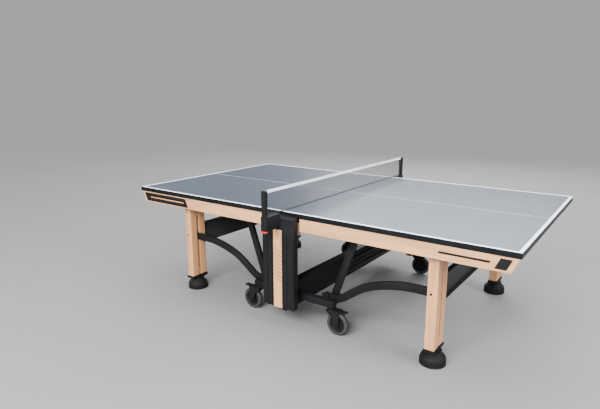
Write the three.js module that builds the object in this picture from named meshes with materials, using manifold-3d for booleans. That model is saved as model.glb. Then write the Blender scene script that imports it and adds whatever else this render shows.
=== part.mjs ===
// Folding table-tennis table: two half tops that swing up beside a wheeled central chassis.
// Units are millimetres. +X runs along the table, +Y across it, +Z up, with the origin on the
// floor under the middle of the net.
import * as THREE from "three";
import { mergeVertices } from "three/addons/utils/BufferGeometryUtils.js";
import Module from "manifold-3d";

const wasm = await Module();
wasm.setup();

// Playing surface
const TABLE_LENGTH = 2740;
const TABLE_WIDTH = 1525;
const TABLE_HEIGHT = 760;
const BOARD_THICKNESS = 25;
const HALF_GAP = 4;

// Running fits and face gaps
const FACE_GAP = 0.3;
const BORE_PLAY = 0.3;

// Wooden side aprons
const APRON_INNER_Y = 733.3;
const APRON_OUTER_Y = 757;
const APRON_TOP_Z = 730;
const APRON_BOTTOM_Z = 650;
const APRON_START_X = 126;
const APRON_TOP_END_X = 1363;
const APRON_BOTTOM_END_X = 1327;

// Steel frame under each half top, made of angle section
const ANGLE_WALL = 4;
const ANGLE_FLANGE = 33;
const FRAME_TOP_Z = TABLE_HEIGHT - BOARD_THICKNESS - FACE_GAP;
const FRAME_BOTTOM_Z = 694.7;
const FRAME_OUTER_Y = 733;
const FRAME_INNER_X = 20;
const FRAME_OUTER_X = 1340;
const CROSS_MEMBER_XS = [230, 640, 1000];
const CROSS_RAIL_DROP = 1;
const CHEEK_WALL = 4;
const CHEEK_PLAY = 2.5;
const CHEEK_INSET_Z = 3;
const CHEEK_REACH = [-90, 60];
const EAR_WALL = 5;
const EAR_HALF = 24;
const EAR_PLAY = 3;
const OVERLAP = 1;

// End column
const COLUMN_HALF_WIDTH = 120;
const COLUMN_INNER_Y = 765;
const COLUMN_OUTER_Y = 808;
const COLUMN_BOTTOM_Z = 150;
const COLUMN_TOP_Z = 745;
const COLUMN_WALL = 3;
const COLUMN_SHOULDER_DROP = 18;
const COLUMN_FRONT_HALF_WIDTH = 70;
const INLAY_HALF_WIDTH = 32;
const INLAY_THICKNESS = 4;
const INLAY_TOP_Z = 655;

// Lift shaft, whose end rollers run in vertical guides inside the columns
const LIFT_X = 90;
const LIFT_Z = 715;
const LIFT_TRAVEL = 385;
const LIFT_SHAFT_RADIUS = 10;
const ROLLER_RADIUS = 15;
const ROLLER_INNER_Y = 770;
const ROLLER_OUTER_Y = 790;
const GUIDE_HALF_GAP = 15.5;
const GUIDE_WALL = 2.5;
const GUIDE_BOTTOM_Z = 307;

// Chassis
const BEAM_HALF_WIDTH = 32;
const BEAM_BOTTOM_Z = 115;
const BEAM_TOP_Z = 280;
const BEAM_WALL = 3;
const RAIL_INNER_Y = 632;
const RAIL_OUTER_Y = 668;
const RAIL_BOTTOM_Z = 168;
const RAIL_TOP_Z = 214;
const RAIL_HALF_LENGTH = 314;
const RAIL_WALL = 4;
const ARM_LUG_HALF = 21;
const ARM_LUG_INNER_Y = 550;
const ARM_LUG_OUTER_Y = 576;
const ARM_SHELF_TOP_Z = 186;
const ARM_PIN_END_Y = 606;
const LINK_LUG_HALF = 22;
const LINK_LUG_THICKNESS = 8;
const LINK_LUG_BOTTOM_Z = 173;

// Swing frame: two slanted arms, pivoted low on the chassis and held under the half top
const ARM_INNER_Y = 580;
const ARM_OUTER_Y = 604;
const ARM_WIDTH = 42;
const ARM_TOP_X = 440;
const ARM_TOP_Z = 672;
const ARM_BASE_Z = 208;
const ARM_PIN_RADIUS = 9;
const ARM_EYE_RADIUS = 19.5;
const ARM_TUBE_RADIUS = 14;
const CHEEK_BOTTOM_Z = 640;
const ARM_TUBE_SHARES = { right: [0.38, 0.56, 0.9], left: [0.9] };

// Legs
const LEG_X = 940;
const LEG_HINGE_Z = 650;
const LEG_CENTRE_Y = 620;
const POST_WIDTH = 58;
const POST_SLOT = 22;
const POST_BOTTOM_Z = 105;
const LEG_SHAFT_RADIUS = 10;
const LEG_SHAFT_END_Y = 702;
const LEG_FOLD_TILT = THREE.MathUtils.degToRad(13);
const SPACER_HEIGHT = 60;
const SPACER_INSET = 4;
const PANEL_THICKNESS = 30;
const PANEL_BOTTOM_Z = 345;
const PANEL_TOP_Z = 500;
const PANEL_WALL = 4;
const COLLAR_BOTTOM_Z = 75;
const COLLAR_RIM_Z = 88;
const COLLAR_MARGIN = 4;
const COLLAR_TAPER = 26;
const FOOT_RADIUS = 74;
const FOOT_TOP_RADIUS = 46;
const FOOT_DOME = [[74, 14], [71, 30], [63, 46], [53, 60]];
const FOOT_SCREW_RADIUS = 8;
const FOOT_SCREW_TOP_Z = 102;

// Curved links between the chassis and the legs, running in the slot between the two posts
const LINK_INNER_Y = 611;
const LINK_OUTER_Y = 629;
const LINK_DEPTH = 50;
const LINK_LEG_Z = 410;
const LINK_BASE_Z = 222;
const LINK_PIN_RADIUS = 8;
const LINK_EYE_RADIUS = 24;
const LINK_STEPS = 18;
const LINK_ROUTE = [[330, 223], [400, 268], [500, 335], [610, 378], [740, 405], [850, 411]];

// Casters
const CASTER_SWIVEL_X = 292;
const CASTER_TRAIL = 51;
const CASTER_Y = 650;
const WHEEL_RADIUS = 73;
const TYRE_DEPTH = 20;
const WHEEL_HALF_WIDTH = 17;
const FORK_GAP_HALF = 20;
const FORK_WALL = 8;
const FORK_TOP_Z = 161;
const FORK_BACK_X = 270;
const FORK_CROWN_THICKNESS = 11;
const FORK_TIP_HALF = 16;
const FORK_TIP_Z = 56;
const FORK_SHOULDER_Z = 111;
const STEM_RADIUS = 17;
const AXLE_RADIUS = 6;
const TREAD_CHAMFER = 6;
const HUB_BOSS_RADIUS = 20;
const HUB_BOSS_STEP = 5;
const PEDAL_HALF_WIDTH = 16;
const PEDAL_PIVOT_X = 355;
const PEDAL_PIVOT_Z = 156;
const PEDAL_PIN_RADIUS = 3;
const PEDAL_PIN_PLAY = 0.5;
const PEDAL_OUTLINE = [[-3, -4], [46, -1], [52, 3], [50, 7], [-3, 5]];

// Net
const NET_TOP_Z = 912.5;
const NET_BOTTOM_Z = 762;
const NET_HALF_LENGTH = 913.5;
const NET_THICKNESS = 3;
const NET_POST_Y = 927;
const NET_POST_HALF = 13;
const NET_BRACKET_HALF_WIDTH = 20;
const NET_BRACKET_BOTTOM_Z = 672;
const NET_BRACKET_TOP_Z = 758;
const BUTTON_INNER_Y = 922;
const BUTTON_OUTER_Y = 944;
const BUTTON_THICKNESS = 9;

const ROUND = 20;
const SMALL_ROUND = 12;
const WHEEL_ROUND = 28;
const FOOT_ROUND = 24;

const finish = (color, roughness, metalness) =>
  () => new THREE.MeshStandardMaterial({ color, roughness, metalness });
const laminate = finish(0x5d656b, 0.35, 0.0);
const blackSteel = finish(0x17181a, 0.5, 0.4);
const brightSteel = finish(0x8d9094, 0.35, 0.9);
const maple = finish(0xdcb592, 0.55, 0.0);
const blackPlastic = finish(0x141416, 0.6, 0.0);
const greyRubber = finish(0x8b9093, 0.8, 0.0);
const netting = finish(0x22262a, 0.9, 0.0);
const redPlastic = finish(0xd21f2b, 0.4, 0.0);

// A solid from a three.js geometry, whose shared vertices are merged first.
function solid(geometry) {
  const plain = (geometry.index ? geometry.toNonIndexed() : geometry.clone());
  plain.deleteAttribute("normal");
  plain.deleteAttribute("uv");
  const merged = mergeVertices(plain, 1e-3);
  return new wasm.Manifold(new wasm.Mesh({
    numProp: 3,
    vertProperties: new Float32Array(merged.attributes.position.array),
    triVerts: new Uint32Array(merged.index.array),
  }));
}

function part(name, made, material) {
  const mesh = made.getMesh();
  const geometry = new THREE.BufferGeometry();
  geometry.setAttribute("position", new THREE.BufferAttribute(mesh.vertProperties, 3));
  geometry.setIndex(new THREE.BufferAttribute(mesh.triVerts, 1));
  geometry.computeVertexNormals();
  const node = new THREE.Mesh(geometry, material());
  node.name = name;
  return node;
}

const joined = (solids) => solids.reduce((whole, piece) => whole.add(piece));

// A block between two values on each axis, given in either order.
function block(x0, x1, y0, y1, z0, z1) {
  const geometry = new THREE.BoxGeometry(Math.abs(x1 - x0), Math.abs(y1 - y0), Math.abs(z1 - z0));
  geometry.translate((x0 + x1) / 2, (y0 + y1) / 2, (z0 + z1) / 2);
  return solid(geometry);
}

function roundAlongY(radius, x, z, y0, y1, sides = ROUND) {
  const geometry = new THREE.CylinderGeometry(radius, radius, Math.abs(y1 - y0), sides);
  geometry.translate(x, (y0 + y1) / 2, z);
  return solid(geometry);
}

function roundAlongZ(radius, x, y, z0, z1, sides = ROUND) {
  const geometry = new THREE.CylinderGeometry(radius, radius, z1 - z0, sides);
  geometry.rotateX(Math.PI / 2);
  geometry.translate(x, y, (z0 + z1) / 2);
  return solid(geometry);
}

// A profile of [x, z] points carried from y0 to y1.
function plate(points, y0, y1) {
  const shape = new THREE.Shape(points.map(([x, z]) => new THREE.Vector2(x, z)));
  const depth = Math.abs(y1 - y0);
  const geometry = new THREE.ExtrudeGeometry(shape, { depth, bevelEnabled: false });
  geometry.rotateX(Math.PI / 2);
  geometry.translate(0, Math.max(y0, y1), 0);
  return solid(geometry);
}

// A profile of [y, z] points carried from x0 to x1.
function plateAlongX(points, x0, x1) {
  const shape = new THREE.Shape(points.map(([y, z]) => new THREE.Vector2(y, z)));
  const geometry = new THREE.ExtrudeGeometry(shape, { depth: x1 - x0, bevelEnabled: false });
  geometry.rotateX(Math.PI / 2);
  geometry.rotateZ(Math.PI / 2);
  geometry.translate(x0, 0, 0);
  return solid(geometry);
}

// A profile of [radius, z] points turned about the vertical axis through x, y.
function turned(points, x, y, sides = ROUND) {
  const profile = points.map(([radius, z]) => new THREE.Vector2(radius, z));
  const geometry = new THREE.LatheGeometry(profile, sides);
  geometry.rotateX(Math.PI / 2);
  geometry.translate(x, y, 0);
  return solid(geometry);
}

// Turned about the Y axis through x, z, with [radius, y] points.
function turnedAlongY(points, x, y, z, sides = ROUND) {
  const profile = points.map(([radius, along]) => new THREE.Vector2(radius, along));
  const geometry = new THREE.LatheGeometry(profile, sides);
  geometry.translate(x, y, z);
  return solid(geometry);
}

// The pivot height is given; this is the x that is equally far from a point before and after folding.
function pivotX(before, after, z) {
  const [x0, z0] = before;
  const [x1, z1] = after;
  return (x0 ** 2 - x1 ** 2 + (z0 - z) ** 2 - (z1 - z) ** 2) / (2 * (x0 - x1));
}

// Where a point of the half top goes as it lowers by the lift travel and turns a quarter turn.
function folded(x, z) {
  return [LIFT_X - (z - LIFT_Z), LIFT_Z - LIFT_TRAVEL + (x - LIFT_X)];
}

const armBaseX = pivotX([ARM_TOP_X, ARM_TOP_Z], folded(ARM_TOP_X, ARM_TOP_Z), ARM_BASE_Z);
const hingeFolded = folded(LEG_X, LEG_HINGE_Z);
const linkArm = LEG_HINGE_Z - LINK_LEG_Z;
const linkEndFolded = [
  hingeFolded[0] + linkArm * Math.sin(LEG_FOLD_TILT),
  hingeFolded[1] - linkArm * Math.cos(LEG_FOLD_TILT),
];
const linkBaseX = pivotX([LEG_X, LINK_LEG_Z], linkEndFolded, LINK_BASE_Z);

function board() {
  const half = TABLE_WIDTH / 2;
  const bottom = TABLE_HEIGHT - BOARD_THICKNESS;
  return block(HALF_GAP / 2, TABLE_LENGTH / 2, -half, half, bottom, TABLE_HEIGHT);
}

// An angle member along X: a vertical web with a flange turned in at its top.
function sideRail(side) {
  const outer = side * FRAME_OUTER_Y;
  const web = block(FRAME_INNER_X, FRAME_OUTER_X, outer, outer - side * ANGLE_WALL,
    FRAME_BOTTOM_Z, FRAME_TOP_Z);
  const flange = block(FRAME_INNER_X, FRAME_OUTER_X, outer, outer - side * ANGLE_FLANGE,
    FRAME_TOP_Z - ANGLE_WALL, FRAME_TOP_Z);
  return web.add(flange);
}

// An angle member along Y whose web stands at x.
function crossRail(x) {
  const end = FRAME_OUTER_Y - ANGLE_WALL / 2;
  const top = FRAME_TOP_Z - CROSS_RAIL_DROP;
  const web = block(x, x + ANGLE_WALL, -end, end, FRAME_BOTTOM_Z + CROSS_RAIL_DROP, top);
  const flange = block(x, x + ANGLE_FLANGE, -end, end, top - ANGLE_WALL, top);
  return web.add(flange);
}

// The cheek that the arm's top end works against: a long plate under the half top.
function armCheek(side) {
  const [x0, x1] = [CROSS_MEMBER_XS[0] + OVERLAP, CROSS_MEMBER_XS[1] + OVERLAP];
  const top = FRAME_TOP_Z - CHEEK_INSET_Z;
  const shoulder = FRAME_BOTTOM_Z + CHEEK_INSET_Z;
  const [back, front] = CHEEK_REACH.map((reach) => ARM_TOP_X + reach);
  const profile = [[x0, top], [x0, shoulder], [back, CHEEK_BOTTOM_Z], [front, CHEEK_BOTTOM_Z],
    [x1, shoulder], [x1, top]];
  const y = side * (ARM_OUTER_Y + CHEEK_PLAY);
  return plate(profile, y, y + side * CHEEK_WALL);
}

// Two ears each side of a leg, which carry the leg hinge shaft.
function legEars(side) {
  const tip = LEG_HINGE_Z - EAR_HALF;
  const top = FRAME_TOP_Z - CROSS_RAIL_DROP - ANGLE_WALL / 2;
  const profile = [[LEG_X - EAR_HALF, tip], [LEG_X + EAR_HALF, tip],
    [CROSS_MEMBER_XS[2] + OVERLAP, top], [LEG_X - EAR_HALF, top]];
  const reach = POST_WIDTH + POST_SLOT / 2 + EAR_PLAY;
  const ys = [LEG_CENTRE_Y - reach - EAR_WALL, LEG_CENTRE_Y + reach];
  return joined(ys.map((y) => plate(profile, side * y, side * (y + EAR_WALL))));
}

function topFrame() {
  const xs = [FRAME_INNER_X, ...CROSS_MEMBER_XS, FRAME_OUTER_X - ANGLE_FLANGE];
  const members = [sideRail(-1), sideRail(1), ...xs.map(crossRail)];
  for (const side of [-1, 1]) {
    members.push(armCheek(side), legEars(side));
  }
  const liftBore = LIFT_SHAFT_RADIUS + BORE_PLAY;
  const legBore = LEG_SHAFT_RADIUS + BORE_PLAY;
  const half = TABLE_WIDTH / 2;
  return joined(members)
    .subtract(roundAlongY(liftBore, LIFT_X, LIFT_Z, -half, half))
    .subtract(roundAlongY(legBore, LEG_X, LEG_HINGE_Z, -half, half));
}

function apron(side) {
  const profile = [[APRON_START_X, APRON_BOTTOM_Z], [APRON_BOTTOM_END_X, APRON_BOTTOM_Z],
    [APRON_TOP_END_X, APRON_TOP_Z], [APRON_START_X, APRON_TOP_Z]];
  return plate(profile, side * APRON_INNER_Y, side * APRON_OUTER_Y);
}

function liftShaft() {
  const shaft = roundAlongY(LIFT_SHAFT_RADIUS, LIFT_X, LIFT_Z, -ROLLER_OUTER_Y, ROLLER_OUTER_Y);
  const rollers = [-1, 1].map((side) => roundAlongY(ROLLER_RADIUS, LIFT_X, LIFT_Z,
    side * ROLLER_INNER_Y, side * ROLLER_OUTER_Y));
  return joined([shaft, ...rollers]);
}

// A flat bar in the XZ plane between two pivots, with a round eye at each end.
function armBar(side) {
  const along = new THREE.Vector2(ARM_TOP_X - armBaseX, ARM_TOP_Z - ARM_BASE_Z);
  const half = along.clone().normalize().multiplyScalar(ARM_WIDTH / 2);
  const inset = along.clone().normalize().multiplyScalar(ARM_EYE_RADIUS / 2);
  const foot = [armBaseX + inset.x, ARM_BASE_Z + inset.y];
  const profile = [
    [foot[0] - half.y, foot[1] + half.x],
    [foot[0] + half.y, foot[1] - half.x],
    [ARM_TOP_X + half.y, ARM_TOP_Z - half.x],
    [ARM_TOP_X - half.y, ARM_TOP_Z + half.x],
  ];
  const [inner, outer] = [side * ARM_INNER_Y, side * ARM_OUTER_Y];
  return plate(profile, inner, outer)
    .add(roundAlongY(ARM_EYE_RADIUS, armBaseX, ARM_BASE_Z, inner, outer))
    .add(roundAlongY(ARM_EYE_RADIUS, ARM_TOP_X, ARM_TOP_Z, inner, outer));
}

function swingFrame(name) {
  const tubes = ARM_TUBE_SHARES[name].map((share) => roundAlongY(
    ARM_TUBE_RADIUS,
    armBaseX + share * (ARM_TOP_X - armBaseX),
    ARM_BASE_Z + share * (ARM_TOP_Z - ARM_BASE_Z),
    -ARM_INNER_Y - OVERLAP, ARM_INNER_Y + OVERLAP,
  ));
  const bore = ARM_PIN_RADIUS + BORE_PLAY;
  return joined([armBar(-1), armBar(1), ...tubes])
    .subtract(roundAlongY(bore, armBaseX, ARM_BASE_Z, -ARM_OUTER_Y - OVERLAP,
      ARM_OUTER_Y + OVERLAP));
}

// Two square wooden posts with a slot between them, joined by spacers, rounded over at the hinge.
function legPosts(side) {
  const half = POST_WIDTH / 2;
  const [x0, x1] = [LEG_X - half, LEG_X + half];
  const slot = POST_SLOT / 2;
  const posts = [-1, 1].map((step) => {
    const y0 = side * LEG_CENTRE_Y + step * slot;
    const y1 = y0 + step * POST_WIDTH;
    return block(x0, x1, y0, y1, POST_BOTTOM_Z, LEG_HINGE_Z)
      .add(roundAlongY(half, LEG_X, LEG_HINGE_Z, y0, y1));
  });
  const [s0, s1] = [side * LEG_CENTRE_Y - slot - OVERLAP, side * LEG_CENTRE_Y + slot + OVERLAP];
  const top = LEG_HINGE_Z - half;
  const spacers = [POST_BOTTOM_Z, top - SPACER_HEIGHT].map((z) => block(x0 + SPACER_INSET,
    x1 - SPACER_INSET, s0, s1, z, z + SPACER_HEIGHT));
  const reach = side * (LEG_CENTRE_Y + slot + POST_WIDTH + OVERLAP);
  const far = side * (LEG_CENTRE_Y - slot - POST_WIDTH - OVERLAP);
  return joined([...posts, ...spacers])
    .subtract(roundAlongY(LEG_SHAFT_RADIUS + BORE_PLAY, LEG_X, LEG_HINGE_Z, far, reach));
}

// The cross panel between the two legs, with a folded foot at each end.
function legPanel() {
  const end = LEG_CENTRE_Y - POST_SLOT / 2 - POST_WIDTH - FACE_GAP;
  const half = PANEL_THICKNESS / 2;
  const wall = PANEL_WALL;
  const web = block(LEG_X - half, LEG_X - half + wall, -end, end, PANEL_BOTTOM_Z, PANEL_TOP_Z);
  const lips = [PANEL_BOTTOM_Z, PANEL_TOP_Z - wall].map((z) => block(
    LEG_X - half, LEG_X + half, -end, end, z, z + wall,
  ));
  const flanges = [-1, 1].map((side) => block(LEG_X - half, LEG_X + half,
    side * end, side * (end - wall), PANEL_BOTTOM_Z, PANEL_TOP_Z));
  return joined([web, ...lips, ...flanges]);
}

// Collar that caps the bottom of the two posts, tapered below and bored for the foot's screw.
function legCollar(side) {
  const y = side * LEG_CENTRE_Y;
  const halfX = POST_WIDTH / 2 + COLLAR_MARGIN;
  const halfY = POST_WIDTH + POST_SLOT / 2 + COLLAR_MARGIN;
  const top = POST_BOTTOM_Z - FACE_GAP;
  const profile = [[y - halfY, top], [y - halfY, COLLAR_RIM_Z],
    [y - halfY + COLLAR_TAPER, COLLAR_BOTTOM_Z], [y + halfY - COLLAR_TAPER, COLLAR_BOTTOM_Z],
    [y + halfY, COLLAR_RIM_Z], [y + halfY, top]];
  return plateAlongX(profile, LEG_X - halfX, LEG_X + halfX)
    .subtract(roundAlongZ(FOOT_SCREW_RADIUS + OVERLAP, LEG_X, y, COLLAR_BOTTOM_Z - OVERLAP,
      top + OVERLAP));
}

// Levelling foot: a tall dome and a screw that stands up into the collar.
function foot(side) {
  const top = COLLAR_BOTTOM_Z - FACE_GAP;
  const profile = [[0, 0], [FOOT_RADIUS - 2, 0], [FOOT_RADIUS, 4], ...FOOT_DOME,
    [FOOT_TOP_RADIUS, top], [FOOT_SCREW_RADIUS, top], [FOOT_SCREW_RADIUS, FOOT_SCREW_TOP_Z],
    [0, FOOT_SCREW_TOP_Z]];
  return turned(profile, LEG_X, side * LEG_CENTRE_Y, FOOT_ROUND);
}

// A curved flat bar that follows the route between its two pivots.
function link(side) {
  const centre = [[linkBaseX, LINK_BASE_Z], ...LINK_ROUTE, [LEG_X, LINK_LEG_Z]];
  const curve = new THREE.CatmullRomCurve3(centre.map(([x, z]) => new THREE.Vector3(x, z, 0)));
  const edge = (offset) => {
    const points = [];
    for (let i = 0; i <= LINK_STEPS; i += 1) {
      const at = curve.getPointAt(i / LINK_STEPS);
      const along = curve.getTangentAt(i / LINK_STEPS);
      points.push([at.x - along.y * offset, at.y + along.x * offset]);
    }
    return points;
  };
  const half = LINK_DEPTH / 2 - OVERLAP;
  const profile = [...edge(half), ...edge(-half).reverse()];
  const [inner, outer] = [side * LINK_INNER_Y, side * LINK_OUTER_Y];
  const bore = LINK_PIN_RADIUS + BORE_PLAY;
  return plate(profile, inner, outer)
    .add(roundAlongY(LINK_EYE_RADIUS, linkBaseX, LINK_BASE_Z, inner, outer))
    .add(roundAlongY(LINK_EYE_RADIUS, LEG_X, LINK_LEG_Z, inner, outer))
    .subtract(roundAlongY(bore, linkBaseX, LINK_BASE_Z, inner - side, outer + side))
    .subtract(roundAlongY(bore, LEG_X, LINK_LEG_Z, inner - side, outer + side));
}

// Caster fork: a crown with its stem, two cheeks and the wheel's axle.
function fork(side) {
  const y = side * CASTER_Y;
  const wheelX = CASTER_SWIVEL_X + CASTER_TRAIL;
  const outer = FORK_GAP_HALF + FORK_WALL;
  const crownBottom = FORK_TOP_Z - FORK_CROWN_THICKNESS;
  const crown = block(FORK_BACK_X, PEDAL_PIVOT_X - STEM_RADIUS / 2, y - outer, y + outer,
    crownBottom, FORK_TOP_Z);
  const profile = [[FORK_BACK_X, FORK_TOP_Z], [PEDAL_PIVOT_X + AXLE_RADIUS, FORK_TOP_Z],
    [wheelX + HUB_BOSS_RADIUS, FORK_SHOULDER_Z], [wheelX + FORK_TIP_HALF, FORK_TIP_Z],
    [wheelX - FORK_TIP_HALF, FORK_TIP_Z], [wheelX - 2 * FORK_TIP_HALF, FORK_SHOULDER_Z],
    [FORK_BACK_X, crownBottom]];
  const cheeks = [-1, 1].map((step) => plate(profile, y + step * FORK_GAP_HALF, y + step * outer));
  const axle = roundAlongY(AXLE_RADIUS, wheelX, WHEEL_RADIUS, y - FORK_GAP_HALF - OVERLAP,
    y + FORK_GAP_HALF + OVERLAP);
  const stem = roundAlongZ(STEM_RADIUS, CASTER_SWIVEL_X, y, FORK_TOP_Z - OVERLAP,
    RAIL_BOTTOM_Z - FACE_GAP);
  return joined([crown, ...cheeks, axle, stem]);
}

function tyre(side) {
  const inner = WHEEL_RADIUS - TYRE_DEPTH;
  const w = WHEEL_HALF_WIDTH;
  const c = TREAD_CHAMFER;
  const profile = [[inner, -w], [WHEEL_RADIUS - c, -w], [WHEEL_RADIUS, -w + c],
    [WHEEL_RADIUS, w - c], [WHEEL_RADIUS - c, w], [inner, w], [inner, -w]];
  return turnedAlongY(profile, CASTER_SWIVEL_X + CASTER_TRAIL, side * CASTER_Y, WHEEL_RADIUS,
    WHEEL_ROUND);
}

function hub(side) {
  const outer = WHEEL_RADIUS - TYRE_DEPTH - FACE_GAP;
  const bore = AXLE_RADIUS + BORE_PLAY;
  const w = WHEEL_HALF_WIDTH - OVERLAP;
  const disc = w - HUB_BOSS_STEP;
  const boss = HUB_BOSS_RADIUS;
  const root = boss + HUB_BOSS_STEP;
  const profile = [[bore, -w], [boss, -w], [root, -disc], [outer, -disc],
    [outer, disc], [root, disc], [boss, w], [bore, w], [bore, -w]];
  return turnedAlongY(profile, CASTER_SWIVEL_X + CASTER_TRAIL, side * CASTER_Y, WHEEL_RADIUS,
    WHEEL_ROUND);
}

// Brake pedal, between the fork's cheeks and out past the wheel.
function pedal(side) {
  const y = side * CASTER_Y;
  const profile = PEDAL_OUTLINE.map(([x, z]) => [PEDAL_PIVOT_X + x, PEDAL_PIVOT_Z + z]);
  const reach = FORK_GAP_HALF - PEDAL_PIN_PLAY;
  const pin = roundAlongY(PEDAL_PIN_RADIUS, PEDAL_PIVOT_X, PEDAL_PIVOT_Z, y - reach, y + reach,
    SMALL_ROUND);
  return plate(profile, y - PEDAL_HALF_WIDTH, y + PEDAL_HALF_WIDTH).add(pin);
}

// Hollow end column: outer skin, sloping roof, floor, and the roller guides for both halves.
function column(side) {
  const [inner, outer] = [side * COLUMN_INNER_Y, side * COLUMN_OUTER_Y];
  const wall = COLUMN_WALL;
  const w = COLUMN_HALF_WIDTH;
  const guides = [];
  for (const x of [-LIFT_X, LIFT_X]) {
    for (const step of [-1, 1]) {
      const near = x + step * GUIDE_HALF_GAP;
      guides.push(block(near, near + step * GUIDE_WALL, inner + side, outer - side,
        GUIDE_BOTTOM_Z, COLUMN_TOP_Z));
    }
    guides.push(block(x - GUIDE_HALF_GAP - OVERLAP, x + GUIDE_HALF_GAP + OVERLAP, inner + side,
      outer - side, GUIDE_BOTTOM_Z - wall, GUIDE_BOTTOM_Z));
  }
  const low = COLUMN_TOP_Z - COLUMN_SHOULDER_DROP;
  const above = COLUMN_TOP_Z + COLUMN_SHOULDER_DROP;
  const roof = plateAlongX([[inner, COLUMN_TOP_Z], [outer, low], [outer, low - wall],
    [inner, COLUMN_TOP_Z - wall]], -w, w);
  const overRoof = plateAlongX([[inner, COLUMN_TOP_Z - wall / 2], [outer, low - wall / 2],
    [outer + side, above], [inner - side, above]], -w - OVERLAP, w + OVERLAP);
  return joined([
    block(-w, w, outer - side * wall, outer, COLUMN_BOTTOM_Z, COLUMN_TOP_Z),
    block(-w, -w + wall, inner, outer, COLUMN_BOTTOM_Z, COLUMN_TOP_Z),
    block(w - wall, w, inner, outer, COLUMN_BOTTOM_Z, COLUMN_TOP_Z),
    block(-w, w, inner, outer, COLUMN_BOTTOM_Z, COLUMN_BOTTOM_Z + wall),
    block(-COLUMN_FRONT_HALF_WIDTH, COLUMN_FRONT_HALF_WIDTH, inner, inner + side * wall,
      COLUMN_BOTTOM_Z, COLUMN_TOP_Z),
    ...guides,
  ]).subtract(overRoof).add(roof);
}

function inlay(side) {
  const inner = side * (COLUMN_OUTER_Y + FACE_GAP);
  return block(-INLAY_HALF_WIDTH, INLAY_HALF_WIDTH, inner, inner + side * INLAY_THICKNESS,
    COLUMN_BOTTOM_Z, INLAY_TOP_Z);
}

// Deep hollow beam between the columns, notched where the foot rails pass through it.
function crossBeam() {
  const end = COLUMN_INNER_Y - FACE_GAP;
  const w = BEAM_HALF_WIDTH;
  const wall = BEAM_WALL;
  const notches = [-1, 1].map((side) => block(-w - OVERLAP, w + OVERLAP,
    side * (RAIL_INNER_Y - FACE_GAP), side * (RAIL_OUTER_Y + FACE_GAP),
    RAIL_BOTTOM_Z - FACE_GAP, RAIL_TOP_Z + FACE_GAP));
  return block(-w, w, -end, end, BEAM_BOTTOM_Z, BEAM_TOP_Z)
    .subtract(block(-w + wall, w - wall, -end - OVERLAP, end + OVERLAP, BEAM_BOTTOM_Z + wall,
      BEAM_TOP_Z - wall))
    .subtract(joined(notches));
}

// The lug and pin that one swing arm turns on, standing on a shelf under the link.
function armPivot(side, end) {
  const [x0, x1] = [end * armBaseX - ARM_LUG_HALF, end * armBaseX + ARM_LUG_HALF];
  const inner = side * ARM_LUG_INNER_Y;
  const outer = side * ARM_LUG_OUTER_Y;
  const shelf = block(x0, x1, inner, side * (RAIL_INNER_Y + OVERLAP), RAIL_BOTTOM_Z,
    ARM_SHELF_TOP_Z);
  const lug = block(x0, x1, inner, outer, RAIL_BOTTOM_Z, ARM_BASE_Z + ARM_LUG_HALF);
  const pin = roundAlongY(ARM_PIN_RADIUS, end * armBaseX, ARM_BASE_Z, outer - side * OVERLAP,
    side * ARM_PIN_END_Y);
  return joined([shelf, lug, pin]);
}

// The lug and pin that one link turns on, on the rail's inner face.
function linkPivot(side, end) {
  const x = end * linkBaseX;
  const lug = block(x - LINK_LUG_HALF, x + LINK_LUG_HALF, side * RAIL_INNER_Y,
    side * (RAIL_INNER_Y + LINK_LUG_THICKNESS), LINK_LUG_BOTTOM_Z, LINK_BASE_Z + LINK_LUG_HALF);
  const pin = roundAlongY(LINK_PIN_RADIUS, x, LINK_BASE_Z, side * (LINK_INNER_Y - OVERLAP),
    side * (RAIL_INNER_Y + OVERLAP));
  return lug.add(pin);
}

function footRail(side) {
  const [inner, outer] = [side * RAIL_INNER_Y, side * RAIL_OUTER_Y];
  const wall = RAIL_WALL;
  const end = RAIL_HALF_LENGTH;
  const tube = block(-end, end, inner, outer, RAIL_BOTTOM_Z, RAIL_TOP_Z)
    .subtract(block(-end - OVERLAP, end + OVERLAP, inner + side * wall, outer - side * wall,
      RAIL_BOTTOM_Z + wall, RAIL_TOP_Z - wall));
  const pivots = [-1, 1].flatMap((step) => [armPivot(side, step), linkPivot(side, step)]);
  return joined([tube, ...pivots]);
}

// Bracket out from the column and the square post that holds one end of the net.
function netPost(side) {
  const inner = side * (COLUMN_OUTER_Y + FACE_GAP);
  const w = NET_BRACKET_HALF_WIDTH;
  const p = NET_POST_HALF;
  const y = side * NET_POST_Y;
  return block(-w, w, inner, side * (NET_POST_Y + p), NET_BRACKET_BOTTOM_Z, NET_BRACKET_TOP_Z)
    .add(block(-p, p, y - p, y + p, NET_BRACKET_BOTTOM_Z + OVERLAP, NET_TOP_Z));
}

function net() {
  return block(-NET_THICKNESS / 2, NET_THICKNESS / 2, -NET_HALF_LENGTH, NET_HALF_LENGTH,
    NET_BOTTOM_Z, NET_TOP_Z);
}

// Push button under the outer end of the net bracket.
function lockButton(side) {
  const top = NET_BRACKET_BOTTOM_Z - FACE_GAP;
  const w = NET_BRACKET_HALF_WIDTH;
  return block(-w, w, side * BUTTON_INNER_Y, side * BUTTON_OUTER_Y, top - BUTTON_THICKNESS, top);
}

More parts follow.
